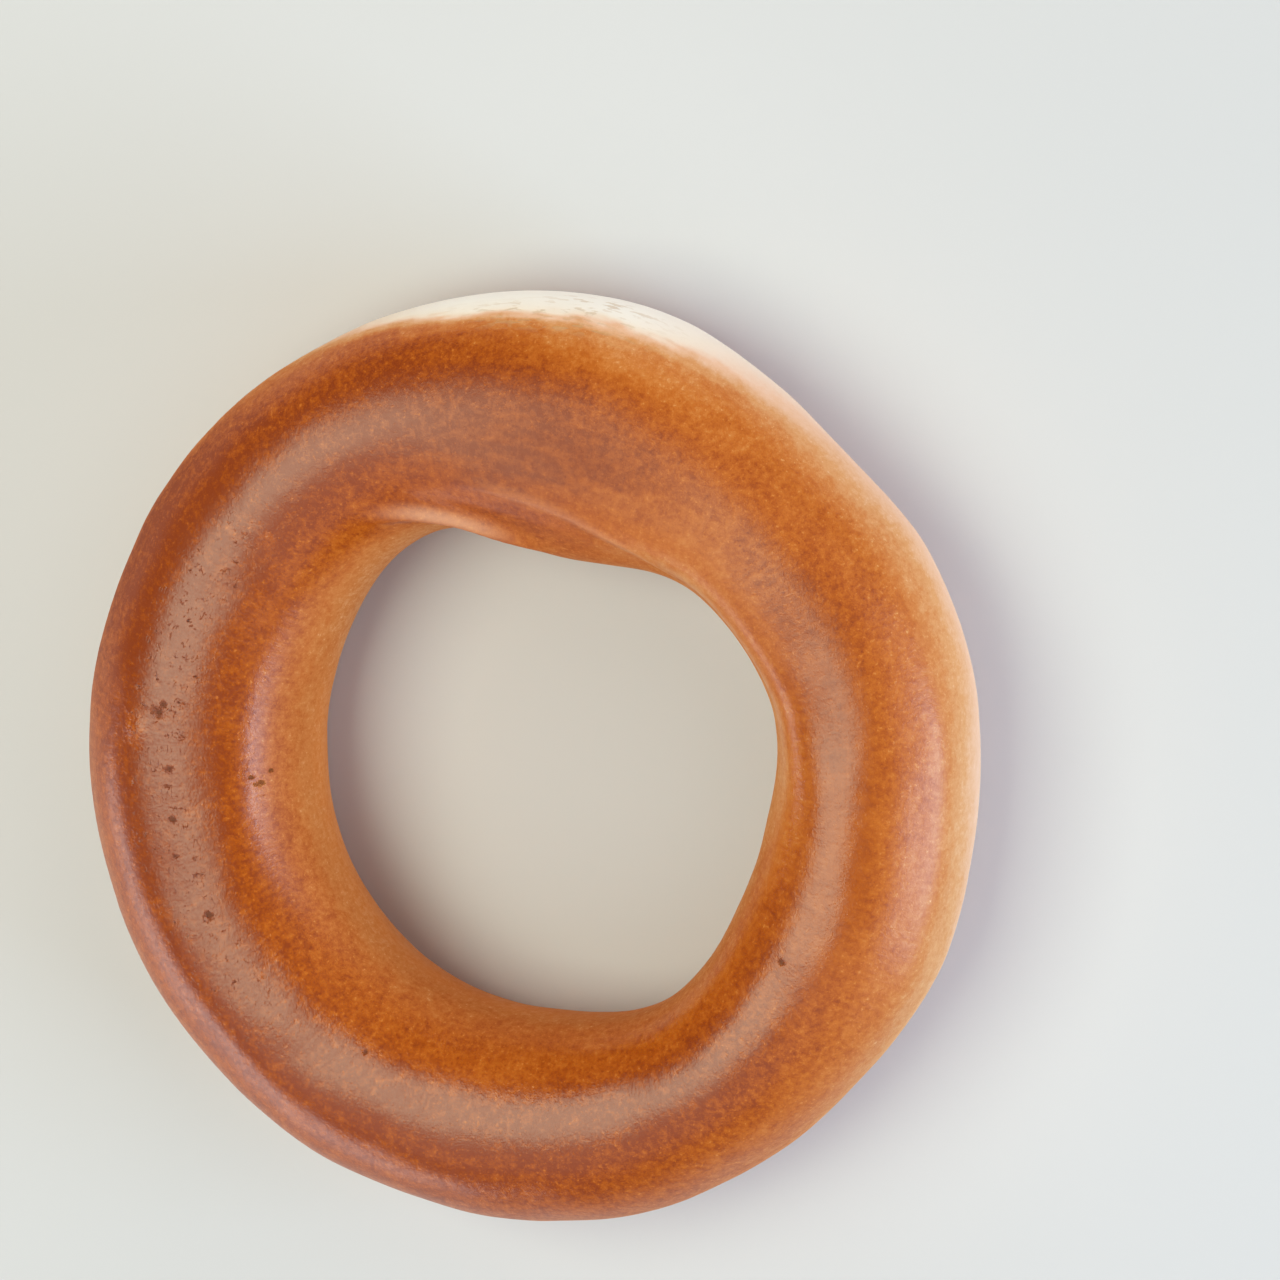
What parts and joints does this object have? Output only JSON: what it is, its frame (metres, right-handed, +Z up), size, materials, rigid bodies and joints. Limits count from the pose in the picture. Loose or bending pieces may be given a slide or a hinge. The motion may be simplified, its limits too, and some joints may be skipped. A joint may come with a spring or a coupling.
{
  "type": "bublik bread ring",
  "caption": "Browned, satin ring of boiled and baked dough with a round hole, hand rolled and slightly uneven, lying on a flat pale underside.",
  "frame": {"origin": "on the surface that the ring lies on, under the middle of its outline", "axes": "+Z up along the ring's axis, +Y towards the joint where the rope's ends overlap, +X towards the thin stretch of the rope"},
  "size_m": [0.1058, 0.1078, 0.0248],
  "materials": {
    "crust": "satin"
  },
  "bodies": {
    "root": {"bublik": "crust"}
  },
  "joints": []
}
